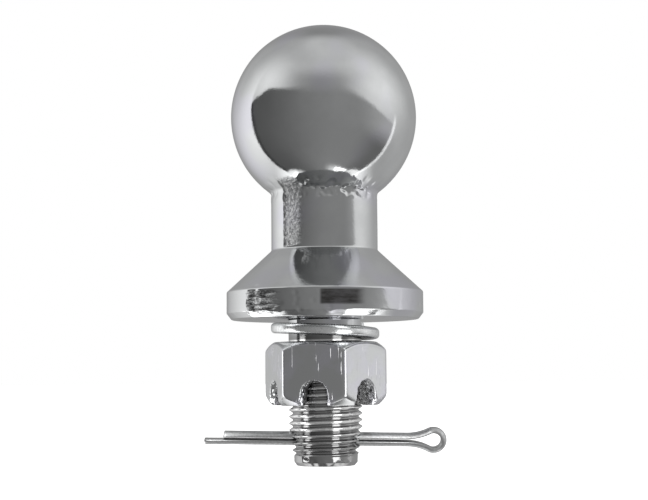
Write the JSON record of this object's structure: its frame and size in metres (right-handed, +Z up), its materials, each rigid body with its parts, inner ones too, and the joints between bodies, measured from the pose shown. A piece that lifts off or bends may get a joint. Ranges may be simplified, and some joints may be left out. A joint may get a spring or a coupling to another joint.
{
  "type": "towing ball",
  "caption": "Bolt-on towing ball on a flanged neck, with a threaded shank, spring washer, slotted nut and split pin.",
  "frame": {"origin": "on the shank's axis, at the flange's underside, where the drawbar seats", "axes": "+Z up the axis from the shank to the ball, +X along the split pin towards its eye"},
  "size_m": [0.0654, 0.0534, 0.12],
  "materials": {
    "plated_forging": "bright chrome plate over a turned and part-ground forging",
    "plated_washer": "bright plate on rolled spring steel",
    "plated_nut": "bright plate with drawing marks on the flats",
    "pin_wire": "drawn half-round wire, lightly plated"
  },
  "bodies": {
    "ball_stud": {"ball_stud": "plated_forging"},
    "spring_washer": {"spring_washer": "plated_washer"},
    "slotted_nut": {"slotted_nut": "plated_nut"},
    "split_pin": {"split_pin": "pin_wire"}
  },
  "joints": [
    {"name": "washer_slide", "type": "slide", "parent": "ball_stud", "child": "spring_washer", "axis": [0, 0, 1], "range_m": [-0.0068, 0]},
    {"name": "nut_turn", "type": "hinge", "parent": "spring_washer", "child": "slotted_nut", "pos_m": [0, 0, -0.0145], "axis": [0, 0, 1], "range_deg": [-1350, 0]},
    {"name": "pin_slide", "type": "slide", "parent": "ball_stud", "child": "split_pin", "axis": [0.9998, 0, -0.0192], "range_m": [-0.009, 0.045]}
  ],
  "couplings": [
    {"joint": "washer_slide", "follows": "nut_turn", "m_per_rad": 0.00028648}
  ]
}
